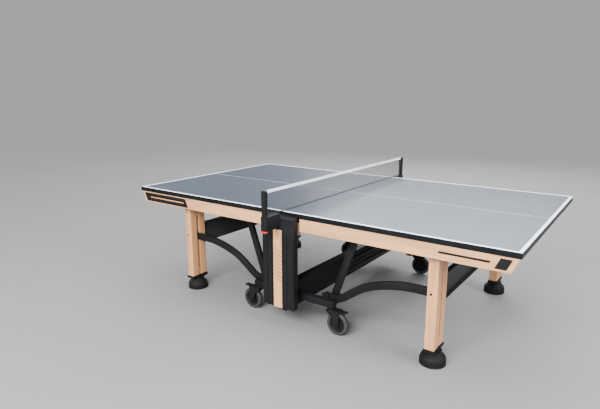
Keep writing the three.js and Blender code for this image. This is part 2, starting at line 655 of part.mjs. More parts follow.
// One half of the table and its casters, built on the +X side; the other half is this one turned.
function halfTable(name) {
  const half = new THREE.Group();
  const turn = name === "right" ? 1 : -1;
  const add = (label, made, material) => half.add(part(`${name}_${label}`, made, material));
  add("board", board(), laminate);
  add("top_frame", topFrame(), blackSteel);
  add("lift_shaft", liftShaft(), brightSteel);
  add("swing_frame", swingFrame(name), blackSteel);
  add("leg_hinge_shaft", roundAlongY(LEG_SHAFT_RADIUS, LEG_X, LEG_HINGE_Z, -LEG_SHAFT_END_Y,
    LEG_SHAFT_END_Y), brightSteel);
  add("leg_panel", legPanel(), blackSteel);
  for (const side of [-1, 1]) {
    const where = side * turn < 0 ? "near" : "far";
    add(`${where}_apron`, apron(side), maple);
    add(`${where}_leg_posts`, legPosts(side), maple);
    add(`${where}_leg_collar`, legCollar(side), blackPlastic);
    add(`${where}_foot`, foot(side), blackPlastic);
    add(`${where}_link`, link(side), blackSteel);
    add(`${where}_caster_fork`, fork(side), blackSteel);
    add(`${where}_caster_tyre`, tyre(side), greyRubber);
    add(`${where}_caster_hub`, hub(side), blackPlastic);
    add(`${where}_brake_pedal`, pedal(side), blackPlastic);
  }
  half.rotation.z = turn > 0 ? 0 : Math.PI;
  return half;
}

const table = new THREE.Group();
table.add(halfTable("right"), halfTable("left"));
table.add(part("cross_beam", crossBeam(), blackSteel), part("net", net(), netting));
for (const side of [-1, 1]) {
  const where = side < 0 ? "near" : "far";
  table.add(
    part(`${where}_column`, column(side), blackSteel),
    part(`${where}_column_inlay`, inlay(side), maple),
    part(`${where}_foot_rail`, footRail(side), blackSteel),
    part(`${where}_net_post`, netPost(side), blackSteel),
    part(`${where}_lock_button`, lockButton(side), redPlastic),
  );
}

export default table;
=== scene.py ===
import math

import bmesh
import bpy
from mathutils import Matrix, Vector


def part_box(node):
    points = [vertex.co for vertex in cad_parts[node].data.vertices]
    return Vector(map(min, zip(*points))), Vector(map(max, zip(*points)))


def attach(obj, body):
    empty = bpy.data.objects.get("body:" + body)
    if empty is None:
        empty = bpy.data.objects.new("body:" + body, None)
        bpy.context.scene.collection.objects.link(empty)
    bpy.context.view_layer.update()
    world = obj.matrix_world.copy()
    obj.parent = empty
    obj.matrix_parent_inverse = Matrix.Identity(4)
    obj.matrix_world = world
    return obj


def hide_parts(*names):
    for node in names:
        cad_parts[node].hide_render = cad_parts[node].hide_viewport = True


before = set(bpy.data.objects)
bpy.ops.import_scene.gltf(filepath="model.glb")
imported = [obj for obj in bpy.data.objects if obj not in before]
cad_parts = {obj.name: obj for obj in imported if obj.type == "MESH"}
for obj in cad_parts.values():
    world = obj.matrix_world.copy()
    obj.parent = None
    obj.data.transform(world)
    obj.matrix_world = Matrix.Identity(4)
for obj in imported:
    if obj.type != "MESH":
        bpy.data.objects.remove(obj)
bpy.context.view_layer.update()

HALVES = {"right": 1, "left": -1}
SIDES = {"near": -1, "far": 1}

# Camera and stage
CAMERA_PLACE = (1.794, -3.050, 1.467)
CAMERA_HEADING = math.radians(-35.95)
CAMERA_TILT = math.radians(-12.9)
CAMERA_LENS = 29.5
FLOOR_HALF = 30.0
FLOOR_DROP = 0.0005
# Name, place, aim, width and height, watts
LIGHTS = (("key", (0.9, -4.8, 3.1), (0.3, -0.4, 0.4), (3.4, 2.2), 754),
          ("back", (-1.5, 5.8, 4.2), (0.0, 0.2, 0.7), (5.0, 2.4), 494),
          ("side", (5.2, -0.6, 3.2), (0.4, 0.0, 0.5), (2.6, 2.2), 338))
# The sky's low colour is as bright as the far floor, so no horizon shows
SKY_STRENGTH = 2.73
SKY_RAMP = ((0.18, (0.160, 0.1615, 0.163, 1.0)), (0.9, (0.95, 0.97, 1.0, 1.0)))

# How far a fitting is sunk into the face that it stands on
SEATED = 0.001
ROUND_STEPS = 48

# Playing surface and its edge band
RIM_WALL = 0.002
RIM_DROP = 0.002
RIM_LIP = 0.022
RIM_BOTTOM_Z = 0.7305
EDGE_LINE = 0.020
CENTRE_LINE = 0.003

# Aprons: the outer end leans by this much per metre of height
APRON_LEAN = 0.45
INSET_PROUD = 0.0006
LINE_PROUD = 0.0010
BADGE_LENGTH = 0.455
BADGE_GAP = 0.018
BADGE_MARGIN = 0.009
BADGE_LINE_INSET = 0.045
BADGE_LINE_HALF = 0.0035
STRIP_REACH = (0.349, 0.098)
STRIP_HALF = 0.006
SMALL_PLATE_LENGTH = 0.055
SMALL_PLATE_GAP = 0.020
SMALL_PLATE_MARGIN = 0.012

# Legs
POST_SLOT = 0.022
SPACER_HEIGHT = 0.06
SPACER_INSET = 0.004
LEG_BOLT_Z = 0.427
LEG_BOLT_OFFSET = 0.007
LEG_BOLT_RADIUS = 0.0072
LEG_BOLT_HEIGHT = 0.0028

# Leg collars and levelling feet
COLLAR_RIM = 0.013
COLLAR_TAPER = (0.007, 0.026)
COLLAR_TAPER_END = 0.002
BOSS_RADII = (0.048, 0.046)
BOSS_HEIGHT = 0.010
FOOT_GAP = 0.0004
BEAD_RADIUS = 0.0045
# How far in from the foot's widest point, and how high
BEAD_TOP = ((0.0022, 0.0115), (0.0015, 0.014))
DOME_INSET = 0.036
DOME_HEIGHT = 0.0300
DOME_RADIUS = 0.0345
# Radius, and how far below the foot's top
FOOT_WAIST = ((0.0485, 0.008), (0.0465, 0.003), (0.0455, 0.0))
FOOT_SCREW_RADIUS = 0.0075
THREAD_PITCH = 0.0018
THREAD_DEPTH = 0.0009

# Casters
TYRE_CROWN = 0.009
TYRE_BEAD = 0.001
HUB_GAP = 0.0003
HUB_INSET = 0.002
HUB_RIBS = 6
HUB_RIB_SECTION = (0.0045, 0.006)
NUT_PROFILE = ((0.0, 0.0), (0.0095, 0.0), (0.0095, 0.005), (0.008, 0.006), (0.0, 0.006))
NUT_SUNK = 0.0005
PEDAL_RIBS = 4
PEDAL_RIB_STEP = 0.007
PEDAL_RIB_FIRST = 0.006
PEDAL_RIB_HALF = (0.0014, 0.013)
PEDAL_RIB_SUNK = 0.0018
PEDAL_RIB_PROUD = 0.0004

# Columns, inlays and foot rails
GROOVE_COUNT = 8
GROOVE_STEP = 0.027
GROOVE_RISE = 0.044
GROOVE_WIDTH = 0.0048
GROOVE_MARGIN = 0.003
GROOVE_CURVE = 1.7
GROOVE_SEGMENTS = 6
GROOVES_MIDDLE = 0.56
GROOVE_SUNK = 0.0005
GROOVE_PROUD = 0.0004
FLUTES_X = (-0.094, -0.058, 0.058, 0.094)
FLUTE_HALF = 0.009
FLUTE_PROUD = 0.0022
FLUTE_MARGINS = (0.012, 0.100)
PLUG_Y = (0.633, 0.667)
PLUG_Z = (0.1690, 0.2130)
PLUG_SUNK = 0.003
PLUG_PROUD = 0.0035

# Net and its posts
STRAND_STEP = 0.0080
STRAND_RADIUS = 0.00045
STRAND_SHIFT = 0.0003
NET_MARGIN = 0.001
TAPE_DEPTH = 0.017
TAPE_HALF = 0.0015
TAPE_GAP = 0.0002
HEM_WIDTH = 0.012
HEM_HALF = 0.0014
BOTTOM_CORD_RADIUS = 0.0016
BOTTOM_CORD_RISE = 0.0018
NET_POST_Y = 0.927
# Half width, and how far the bottom and the top are below the post's own top
POST_CAP = ((0.0125, 0.008, 0.0002), (0.0145, 0.030, 0.024))
BRACKET_SCREWS_X = 0.0197
BRACKET_SCREWS_Y = 0.865
BRACKET_SCREWS_Z = (0.695, 0.735)
BRACKET_SCREW_RADIUS = 0.006
BRACKET_SCREW_HEIGHT = 0.003


# ---------------------------------------------------------------- materials

class Nodes:
    """A material's node tree, with short ways to add and join nodes."""

    def __init__(self, name):
        self.material = bpy.data.materials.new(name)
        self.material.use_nodes = True
        self.tree = self.material.node_tree
        self.shader = self.tree.nodes["Principled BSDF"]
        self.place = self.add("ShaderNodeTexCoord").outputs["Object"]

    def add(self, kind, **settings):
        node = self.tree.nodes.new(kind)
        for key, value in settings.items():
            setattr(node, key, value)
        return node

    def join(self, source, target):
        self.tree.links.new(source, target)

    def stretched(self, scale):
        """The object's own coordinates, scaled apart on each axis."""
        mapping = self.add("ShaderNodeMapping")
        mapping.inputs["Scale"].default_value = scale
        self.join(self.place, mapping.inputs["Vector"])
        return mapping.outputs["Vector"]

    def noise(self, scale, detail=3.0, rough=0.5, vector=None, distortion=0.0):
        node = self.add("ShaderNodeTexNoise")
        node.inputs["Scale"].default_value = scale
        node.inputs["Detail"].default_value = detail
        node.inputs["Roughness"].default_value = rough
        node.inputs["Distortion"].default_value = distortion
        self.join(vector or self.place, node.inputs["Vector"])
        return node.outputs["Fac"]

    def wave(self, scale, direction):
        node = self.add("ShaderNodeTexWave", bands_direction=direction)
        node.inputs["Scale"].default_value = scale
        self.join(self.place, node.inputs["Vector"])
        return node.outputs["Fac"]

    def ramp(self, factor, stops):
        """A colour from (place, colour) stops."""
        node = self.add("ShaderNodeValToRGB")
        elements = node.color_ramp.elements
        while len(elements) < len(stops):
            elements.new(0.5)
        for element, (at, colour) in zip(elements, stops):
            element.position = at
            element.color = (*colour, 1.0)
        self.join(factor, node.inputs["Fac"])
        return node.outputs["Color"]

    def spread(self, factor, low, high):
        """Carries 0 to 1 over to low to high."""
        node = self.add("ShaderNodeMapRange")
        node.inputs["To Min"].default_value = low
        node.inputs["To Max"].default_value = high
        self.join(factor, node.inputs["Value"])
        return node.outputs["Result"]

    def maths(self, operation, first, second):
        """One sum on two numbers or outputs."""
        node = self.add("ShaderNodeMath", operation=operation)
        for socket, value in zip(node.inputs, (first, second)):
            if isinstance(value, (int, float)):
                socket.default_value = value
            else:
                self.join(value, socket)
        return node.outputs["Value"]

    def blended(self, factor, first, second, kind="MIX"):
        """Two colours mixed by a factor, each of them a value or an output."""
        node = self.add("ShaderNodeMix", data_type="RGBA", blend_type=kind)
        sockets = (node.inputs[0], node.inputs[6], node.inputs[7])
        for socket, value in zip(sockets, (factor, first, second)):
            if isinstance(value, tuple):
                socket.default_value = (*value, 1.0)
            elif isinstance(value, float):
                socket.default_value = value
            else:
                self.join(value, socket)
        return node.outputs[2]

    def bumps(self, height, strength, distance):
        node = self.add("ShaderNodeBump")
        node.inputs["Strength"].default_value = strength
        node.inputs["Distance"].default_value = distance
        self.join(height, node.inputs["Height"])
        self.join(node.outputs["Normal"], self.shader.inputs["Normal"])

    def worn_edges(self, radius):
        """How much an edge or a corner is near, from the shape's own curvature."""
        bevel = self.add("ShaderNodeBevel", samples=4)
        bevel.inputs["Radius"].default_value = radius
        geometry = self.add("ShaderNodeNewGeometry")
        dot = self.add("ShaderNodeVectorMath", operation="DOT_PRODUCT")
        self.join(bevel.outputs["Normal"], dot.inputs[0])
        self.join(geometry.outputs["Normal"], dot.inputs[1])
        return self.maths("SUBTRACT", 1.0, dot.outputs["Value"])

    def colour(self, source):
        self.join(source, self.shader.inputs["Base Color"])

    def roughness(self, source):
        self.join(source, self.shader.inputs["Roughness"])


def wood(name, along, stave=0.0):
    """Pale lacquered wood whose grain runs along one axis, in glued staves if they have a width."""
    n = Nodes(name)
    squeeze = [9.0, 9.0, 9.0]
    squeeze["XYZ".index(along)] = 0.7
    fibres = n.noise(14.0, 6.0, 0.62, n.stretched(squeeze), 0.4)
    bands = n.noise(3.2, 3.0, 0.5, n.stretched([v * 0.6 for v in squeeze]), 1.1)
    pores = n.noise(70.0, 2.0, 0.5, n.stretched([v * 1.4 for v in squeeze]))
    base = n.ramp(bands, [(0.30, (0.52, 0.268, 0.128)), (0.52, (0.63, 0.332, 0.160)),
                          (0.72, (0.70, 0.382, 0.190))])
    streaks = n.ramp(fibres, [(0.36, (0.84, 0.75, 0.67)), (0.56, (1.0, 1.0, 1.0))])
    grained = n.blended(0.7, base, streaks, "MULTIPLY")
    flecks = n.ramp(pores, [(0.28, (0.72, 0.62, 0.54)), (0.38, (1.0, 1.0, 1.0))])
    grained = n.blended(0.4, grained, flecks, "MULTIPLY")
    if stave:
        cells = n.add("ShaderNodeVectorMath", operation="SNAP")
        cells.inputs[1].default_value = (stave, stave, 10.0)
        n.join(n.place, cells.inputs[0])
        chance = n.add("ShaderNodeTexWhiteNoise", noise_dimensions="3D")
        n.join(cells.outputs["Vector"], chance.inputs["Vector"])
        tones = n.ramp(chance.outputs["Value"], [
            (0.0, (0.78, 0.70, 0.67)), (0.45, (0.93, 0.88, 0.86)), (1.0, (0.96, 0.95, 0.88))])
        grained = n.blended(0.8, grained, tones, "MULTIPLY")
    n.colour(grained)
    n.roughness(n.spread(fibres, 0.36, 0.50))
    n.shader.inputs["Coat Weight"].default_value = 0.15
    n.shader.inputs["Coat Roughness"].default_value = 0.25
    n.bumps(fibres, 0.12, 0.0006)
    return n.material


def powder_coat(name, colour=(0.0070, 0.0073, 0.0080)):
    """Satin black paint on steel, with a fine orange-peel surface and paler rubbed edges."""
    n = Nodes(name)
    cloud = n.noise(5.0, 4.0)
    low = tuple(c * 0.8 for c in colour)
    high = tuple(c * 1.35 for c in colour)
    body = n.ramp(cloud, [(0.35, low), (0.65, high)])
    rubbed = n.maths("MULTIPLY", n.worn_edges(0.002), n.noise(60.0, 3.0))
    n.colour(n.blended(n.maths("MULTIPLY", rubbed, 0.5), body, (0.11, 0.11, 0.115)))
    n.shader.inputs["Specular IOR Level"].default_value = 0.11
    n.roughness(n.spread(n.noise(34.0, 4.0), 0.36, 0.52))
    n.bumps(n.noise(900.0, 2.0), 0.16, 0.0004)
    return n.material


def moulded(name, colour, rough=0.5, grain=700.0):
    """Moulded plastic or rubber with a fine spark-eroded grain."""
    n = Nodes(name)
    low = tuple(c * 0.82 for c in colour)
    high = tuple(min(1.0, c * 1.2) for c in colour)
    n.colour(n.ramp(n.noise(9.0, 4.0), [(0.35, low), (0.66, high)]))
    n.shader.inputs["Specular IOR Level"].default_value = 0.12
    n.roughness(n.spread(n.noise(40.0, 3.0), rough - 0.07, rough + 0.08))
    n.bumps(n.noise(grain, 2.0), 0.22, 0.0004)
    return n.material


def tyre_rubber():
    """Grey rubber tread with cloudy patches of paler dust."""
    n = Nodes("grey_rubber")
    dust = n.noise(38.0, 5.0, 0.6)
    n.colour(n.ramp(dust, [(0.32, (0.013, 0.013, 0.0138)), (0.60, (0.021, 0.0215, 0.022)),
                           (0.80, (0.034, 0.0335, 0.0325))]))
    n.roughness(n.spread(dust, 0.55, 0.78))
    n.bumps(n.noise(420.0, 3.0), 0.25, 0.0005)
    return n.material


def plated(name):
    """Zinc-plated steel with fine drawing lines along Y."""
    n = Nodes(name)
    lines = n.noise(9.0, 4.0, 0.6, n.stretched((60.0, 1.5, 60.0)))
    n.colour(n.ramp(lines, [(0.35, (0.36, 0.37, 0.38)), (0.65, (0.56, 0.57, 0.58))]))
    n.shader.inputs["Metallic"].default_value = 1.0
    n.roughness(n.spread(lines, 0.24, 0.42))
    n.bumps(lines, 0.1, 0.0003)
    return n.material


def laminate():
    """Grey playing surface: a fine matt texture, white edge lines and a thin white centre line."""
    n = Nodes("grey_laminate")
    axes = n.add("ShaderNodeSeparateXYZ")
    n.join(n.place, axes.inputs["Vector"])
    across = n.maths("ABSOLUTE", axes.outputs["Y"], 0.0)
    along = n.maths("ABSOLUTE", axes.outputs["X"], 0.0)
    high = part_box("right_board")[1]
    side = n.maths("GREATER_THAN", across, high.y - EDGE_LINE)
    end = n.maths("GREATER_THAN", along, high.x - EDGE_LINE)
    middle = n.maths("LESS_THAN", across, CENTRE_LINE / 2)
    lines = n.maths("MAXIMUM", n.maths("MAXIMUM", side, end), middle)
    speckle = n.noise(420.0, 3.0, 0.6)
    cloud = n.noise(1.6, 4.0, 0.5)
    field = n.ramp(cloud, [(0.3, (0.034, 0.046, 0.067)), (0.7, (0.042, 0.056, 0.081))])
    dots = n.ramp(speckle, [(0.38, (0.72, 0.73, 0.75)), (0.6, (1.0, 1.0, 1.0))])
    dotted = n.blended(0.35, field, dots, "MULTIPLY")
    white = n.ramp(speckle, [(0.3, (0.86, 0.865, 0.88)), (0.7, (0.93, 0.935, 0.95))])
    n.colour(n.blended(lines, dotted, white))
    n.shader.inputs["Specular IOR Level"].default_value = 0.15
    n.roughness(n.spread(n.noise(22.0, 4.0), 0.30, 0.40))
    n.bumps(n.noise(1100.0, 2.0), 0.14, 0.0003)
    return n.material


def cloth(name, colour, step):
    """A plain weave of threads that cross at a given step."""
    n = Nodes(name)
    scale = 1.0 / (step * 3.2)
    warp = n.wave(scale, "Y")
    weft = n.wave(scale, "Z")
    weave = n.maths("MULTIPLY", warp, weft)
    low = tuple(c * 0.82 for c in colour)
    n.colour(n.ramp(weave, [(0.05, low), (0.4, colour)]))
    n.roughness(n.spread(n.noise(160.0, 3.0), 0.77, 0.93))
    n.bumps(weave, 0.5, 0.0004)
    return n.material


def pale_floor():
    """Plain pale grey floor with a faint cloudy tone."""
    n = Nodes("stage_floor")
    cloud = n.noise(0.7, 5.0, 0.55)
    n.colour(n.ramp(cloud, [(0.3, (0.184, 0.184, 0.184)), (0.7, (0.198, 0.197, 0.196))]))
    n.shader.inputs["Specular IOR Level"].default_value = 0.25
    n.roughness(n.spread(n.noise(3.0, 4.0), 0.68, 0.80))
    return n.material


LAMINATE = laminate()
WOOD_X = wood("maple_along_x", "X")
WOOD_Z = wood("maple_along_z", "Z")
WOOD_STAVES = wood("maple_staves", "Z", 0.0193)
COAT = powder_coat("black_powder_coat")
# The same black powder coat as the rest, made paler as painted fill light: the leg panels sit in
# deep shade under the top and would otherwise render pitch black
PAINTED_FILL_PANEL_COAT = powder_coat("black_coat_with_painted_fill", (0.018, 0.019, 0.0205))
PLATED = plated("zinc_plated_steel")
PLASTIC = moulded("black_plastic", (0.0075, 0.0075, 0.0080), 0.5)
RUBBER = moulded("black_rubber", (0.007, 0.007, 0.0075), 0.66, 500.0)
EDGE_BAND = moulded("black_edge_band", (0.0045, 0.0055, 0.0068), 0.40, 1200.0)
UNDERSIDE = moulded("dark_underside", (0.035, 0.035, 0.037), 0.6, 300.0)
TYRE = tyre_rubber()
RED = moulded("red_plastic", (0.62, 0.012, 0.020), 0.32)
NET_CORD = cloth("dark_net_cord", (0.020, 0.023, 0.028), 0.0012)
WHITE_TAPE = cloth("white_cotton_tape", (0.95, 0.955, 0.99), 0.0008)
DARK_TAPE = cloth("dark_selvedge", (0.03, 0.033, 0.038), 0.0008)


# ---------------------------------------------------------------- shapes

def new_piece(name, mesh, material, body, replaces=()):
    """An object from a bmesh, with its material and its body, hiding the CAD nodes that it replaces.
    """
    data = bpy.data.meshes.new(name)
    bmesh.ops.recalc_face_normals(mesh, faces=mesh.faces)
    mesh.to_mesh(data)
    mesh.free()
    data.materials.append(material)
    piece = bpy.data.objects.new(name, data)
    bpy.context.scene.collection.objects.link(piece)
    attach(piece, body)
    if replaces:
        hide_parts(*replaces)
    return piece


def eased(piece, width, segments=2):
    """Rounds the piece's edges and shades it smooth between them."""
    modifier = piece.modifiers.new("eased_edges", "BEVEL")
    modifier.width = width
    modifier.segments = segments
    modifier.limit_method = "ANGLE"
    modifier.angle_limit = math.radians(32.0)
    modifier.harden_normals = True
    for face in piece.data.polygons:
        face.use_smooth = True


def softened(piece, angle=35.0):
    """Shades a piece smooth but for its sharp edges."""
    piece.data.shade_smooth()
    piece.data.set_sharp_from_angle(angle=math.radians(angle))
    return piece


def add_block(mesh, low, high):
    """A box between two corners, added to a bmesh."""
    made = bmesh.ops.create_cube(mesh, size=1.0)
    low, high = Vector(low), Vector(high)
    size = [abs(length) for length in high - low]
    place = Matrix.Translation((low + high) / 2) @ Matrix.Diagonal((*size, 1.0))
    bmesh.ops.transform(mesh, matrix=place, verts=made["verts"])


def add_plate(mesh, outline, y0, y1):
    """An outline of (x, z) points carried along Y."""
    first = [mesh.verts.new((x, y0, z)) for x, z in outline]
    last = [mesh.verts.new((x, y1, z)) for x, z in outline]
    add_rings(mesh, [first, last])


def add_turned(mesh, profile, matrix, steps=ROUND_STEPS, closed=False):
    """A profile of (radius, height) points turned about local Z, then placed by a matrix."""
    rings = []
    for radius, height in profile:
        if radius < 1e-7:
            rings.append([mesh.verts.new(matrix @ Vector((0, 0, height)))])
            continue
        ring = []
        for i in range(steps):
            turn = math.tau * i / steps
            point = Vector((radius * math.cos(turn), radius * math.sin(turn), height))
            ring.append(mesh.verts.new(matrix @ point))
        rings.append(ring)
    pairs = list(zip(rings, rings[1:]))
    if closed:
        pairs.append((rings[-1], rings[0]))
    for a, b in pairs:
        for i in range(steps):
            j = (i + 1) % steps
            corners = [a[i % len(a)], a[j % len(a)], b[j % len(b)], b[i % len(b)]]
            unique = list(dict.fromkeys(corners))
            if len(unique) > 2:
                mesh.faces.new(unique)


def add_ring(mesh, low, high, inset_x, inset_y, z):
    """The corners of a box in plan, each moved in by an inset, at one height."""
    x0, x1, y0, y1 = low.x + inset_x, high.x - inset_x, low.y + inset_y, high.y - inset_y
    return [mesh.verts.new((x, y, z)) for x, y in ((x0, y0), (x1, y0), (x1, y1), (x0, y1))]


def add_walls(mesh, a, b):
    """Faces between two rings of corners."""
    for i in range(len(a)):
        j = (i + 1) % len(a)
        mesh.faces.new((a[i], a[j], b[j], b[i]))


def add_rings(mesh, rings):
    """Walls between rings of corners, closed at both ends."""
    for a, b in zip(rings, rings[1:]):
        add_walls(mesh, a, b)
    mesh.faces.new(rings[0])
    mesh.faces.new(list(reversed(rings[-1])))


def arc(cx, cz, radius, start, end, steps):
    """Points of an arc in degrees, from start to end."""
    turns = [math.radians(start + (end - start) * i / steps) for i in range(steps + 1)]
    return [(cx + radius * math.cos(t), cz + radius * math.sin(t)) for t in turns]


def upright(x, y):
    """Local Z left upright, from the floor."""
    return Matrix.Translation((x, y, 0.0))


def along_y(x, y, z):
    """Local Z laid along +Y."""
    return Matrix.Translation((x, y, z)) @ facing_y(1)


def facing_y(t):
    """Turns local Z to +Y or -Y."""
    return Matrix.Rotation(-t * math.pi / 2, 4, "X")


def centre_of(node):
    """The middle of a CAD node's box."""
    low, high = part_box(node)
    return (low + high) / 2


def bolt_head(mesh, matrix, radius, height):
    """A button-head screw with a round recess, standing along local Z."""
    recess, floor = radius * 0.42, height * 0.62
    profile = [(0.0, 0.0), (radius, 0.0), (radius, height * 0.35), (radius * 0.86, height * 0.75),
               (radius * 0.6, height), (recess, height), (recess, floor), (0.0, floor)]
    add_turned(mesh, profile, matrix, 24)


# ---------------------------------------------------------------- table top

def half_board(half):
    """The laminated board inside its edge band, white-lined on top and dark beneath."""
    node = f"{half}_board"
    low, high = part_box(node)
    wall = Vector((RIM_WALL, RIM_WALL, 0.0))
    mesh = bmesh.new()
    add_block(mesh, low + wall, high - wall)
    for face in mesh.faces:
        face.material_index = 0 if face.normal.z > 0.5 else 1
    body = f"{half}_half_top"
    piece = new_piece(f"{half}_playing_surface", mesh, LAMINATE, body, [node])
    piece.data.materials.append(UNDERSIDE)
    eased(piece, 0.0008)


def half_rim(half):
    """Black edge band: a thin upright wall round the board with a lip turned in beneath it."""
    low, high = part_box(f"{half}_board")
    top, lip_top = high.z - RIM_DROP, RIM_BOTTOM_Z + RIM_WALL
    section = [(0.0, RIM_BOTTOM_Z), (0.0, top), (RIM_WALL, top), (RIM_WALL, lip_top),
               (RIM_LIP, lip_top), (RIM_LIP, RIM_BOTTOM_Z)]
    mesh = bmesh.new()
    loops = [add_ring(mesh, low, high, inset, inset, z) for inset, z in section]
    for a, b in zip(loops, loops[1:] + loops[:1]):
        add_walls(mesh, a, b)
    eased(new_piece(f"{half}_edge_band", mesh, EDGE_BAND, f"{half}_half_top"), 0.0006)


def apron(half, side):
    """Wooden side rail with eased edges, and plain dark insets near its outer end."""
    node = f"{half}_{side}_apron"
    body = f"{half}_half_top"
    s, t = HALVES[half], SIDES[side]
    low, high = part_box(node)
    z0, z1 = low.z, high.z
    inner_x, outer_x = sorted((abs(low.x), abs(high.x)))
    y0, y1 = sorted((abs(low.y), abs(high.y)))
    corner_x = outer_x - APRON_LEAN * (z1 - z0)
    outline = [(s * inner_x, z0), (s * corner_x, z0), (s * outer_x, z1), (s * inner_x, z1)]
    mesh = bmesh.new()
    add_plate(mesh, outline, t * y0, t * y1)
    eased(new_piece(f"{half}_{side}_side_apron", mesh, WOOD_X, body, [node]), 0.0018, 3)
    marks = bmesh.new()
    draw = badge_plate if s * t > 0 else plain_strip
    draw(marks, s, corner_x, z0, z1, (t * y1, t * (y1 + INSET_PROUD)))
    eased(new_piece(f"{half}_{side}_apron_inset", marks, PLASTIC, body), 0.0002, 1)
    if s * t > 0:
        line = bmesh.new()
        badge_line(line, s, corner_x, z0, z1, (t * y1, t * (y1 + LINE_PROUD)))
        new_piece(f"{half}_{side}_badge_line", line, WOOD_X, body)


def add_slanted_plate(mesh, s, ends, heights, ys):
    """A thin plate between two distances from the net, its ends leaning like the apron's own end."""
    (start, end), (bottom, top) = ends, heights
    lean = APRON_LEAN * (top - bottom)
    add_plate(mesh, [(s * start, bottom), (s * end, bottom), (s * (end + lean), top),
                     (s * (start + lean), top)], *ys)


def badge_plate(mesh, s, corner_x, z0, z1, ys):
    """A long plain dark plate near the apron's outer end."""
    end = corner_x - BADGE_GAP
    add_slanted_plate(mesh, s, (end - BADGE_LENGTH, end), (z0 + BADGE_MARGIN, z1 - BADGE_MARGIN), ys)


def badge_line(mesh, s, corner_x, z0, z1, ys):
    """One plain pale line along the middle of the dark plate."""
    end = corner_x - BADGE_GAP
    middle = (z0 + z1) / 2
    add_slanted_plate(mesh, s, (end - BADGE_LENGTH + BADGE_LINE_INSET, end - BADGE_LINE_INSET),
                      (middle - BADGE_LINE_HALF, middle + BADGE_LINE_HALF), ys)


def plain_strip(mesh, s, corner_x, z0, z1, ys):
    """One plain dark strip, and one small plate by the outer end."""
    middle = (z0 + z1) / 2
    add_slanted_plate(mesh, s, (corner_x - STRIP_REACH[0], corner_x - STRIP_REACH[1]),
                      (middle - STRIP_HALF, middle + STRIP_HALF), ys)
    end = corner_x - SMALL_PLATE_GAP
    add_slanted_plate(mesh, s, (end - SMALL_PLATE_LENGTH, end),
                      (z0 + SMALL_PLATE_MARGIN, z1 - SMALL_PLATE_MARGIN), ys)


# ---------------------------------------------------------------- legs

def leg_posts(half, side):
    """Two wooden posts with round tops and a slot between them, joined by two spacers."""
    node = f"{half}_{side}_leg_posts"
    body = f"{half}_leg_frame"
    low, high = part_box(node)
    width = high.x - low.x
    middle = (low.x + high.x) / 2
    hinge_z = high.z - width / 2
    outline = [(low.x, low.z), (high.x, low.z)] + arc(middle, hinge_z, width / 2, 0.0, 180.0, 20)
    post = (high.y - low.y - POST_SLOT) / 2
    mesh = bmesh.new()
    for y0 in (low.y, high.y - post):
        add_plate(mesh, outline, y0, y0 + post)
    for z0 in (low.z, hinge_z - width / 2 - SPACER_HEIGHT):
        add_block(mesh, (low.x + SPACER_INSET, low.y + post - SEATED, z0),
                  (high.x - SPACER_INSET, high.y - post + SEATED, z0 + SPACER_HEIGHT))
    eased(new_piece(f"{half}_{side}_wooden_leg", mesh, WOOD_STAVES, body, [node]), 0.004, 3)
    t = SIDES[side]
    face = high.y if t > 0 else low.y
    place = Matrix.Translation((middle - LEG_BOLT_OFFSET, face - t * SEATED, LEG_BOLT_Z))
    bolt = bmesh.new()
    bolt_head(bolt, place @ facing_y(t), LEG_BOLT_RADIUS, LEG_BOLT_HEIGHT)
    softened(new_piece(f"{half}_{side}_leg_bolt", bolt, PLASTIC, body))


def leg_collar(half, side):
    """Moulded shoe under the two posts: an upright rim, a tapered underside and a round boss."""
    node = f"{half}_{side}_leg_collar"
    low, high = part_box(node)
    c = (low + high) / 2
    rim, boss_top = low.z + COLLAR_RIM, low.z + BOSS_HEIGHT
    mesh = bmesh.new()
    add_block(mesh, (low.x, low.y, rim), high)
    add_rings(mesh, [add_ring(mesh, low, high, SEATED, SEATED, rim + SEATED),
                     add_ring(mesh, low, high, SEATED, SEATED, rim),
                     add_ring(mesh, low, high, *COLLAR_TAPER, low.z + COLLAR_TAPER_END)])
    boss = [(0.0, boss_top), (BOSS_RADII[0], boss_top), (BOSS_RADII[1], low.z), (0.0, low.z)]
    add_turned(mesh, boss, upright(c.x, c.y))
    body = f"{half}_leg_frame"
    eased(new_piece(f"{half}_{side}_collar", mesh, PLASTIC, body, [node]), 0.0025, 3)


def levelling_foot(half, side):
    """Tall dome with a bead at the floor and a shallow waist at the top, on a screw."""
    node = f"{half}_{side}_foot"
    body = f"{half}_{side}_levelling_foot"
    low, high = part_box(node)
    c = (low + high) / 2
    radius = (high.x - low.x) / 2
    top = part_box(f"{half}_{side}_leg_collar")[0].z - FOOT_GAP
    profile = [(0.0, 0.0)]
    profile += arc(radius - BEAD_RADIUS, BEAD_RADIUS, BEAD_RADIUS, -90.0, 80.0, 6)
    profile += [(radius - inset, z) for inset, z in BEAD_TOP]
    profile += arc(radius - DOME_INSET, DOME_HEIGHT, DOME_RADIUS, 0.0, 62.0, 12)
    profile += [(r, top - drop) for r, drop in FOOT_WAIST] + [(0.0, top)]
    dome = bmesh.new()
    add_turned(dome, profile, upright(c.x, c.y), 64)
    softened(new_piece(f"{half}_{side}_domed_foot", dome, RUBBER, body, [node]), 28.0)
    screw = bmesh.new()
    add_turned(screw, thread_profile(FOOT_SCREW_RADIUS, top - SEATED, high.z), upright(c.x, c.y), 24)
    softened(new_piece(f"{half}_{side}_foot_screw", screw, PLATED, body), 60.0)


def thread_profile(radius, start, end):
    """Radius and height points of a screw's ridges from one height to another."""
    points = [(0.0, start)]
    for i in range(int((end - start) / THREAD_PITCH)):
        z = start + i * THREAD_PITCH
        points += [(radius - THREAD_DEPTH, z), (radius, z + THREAD_PITCH / 2)]
    return points + [(radius - THREAD_DEPTH, end), (0.0, end)]


# ---------------------------------------------------------------- CAD nodes kept

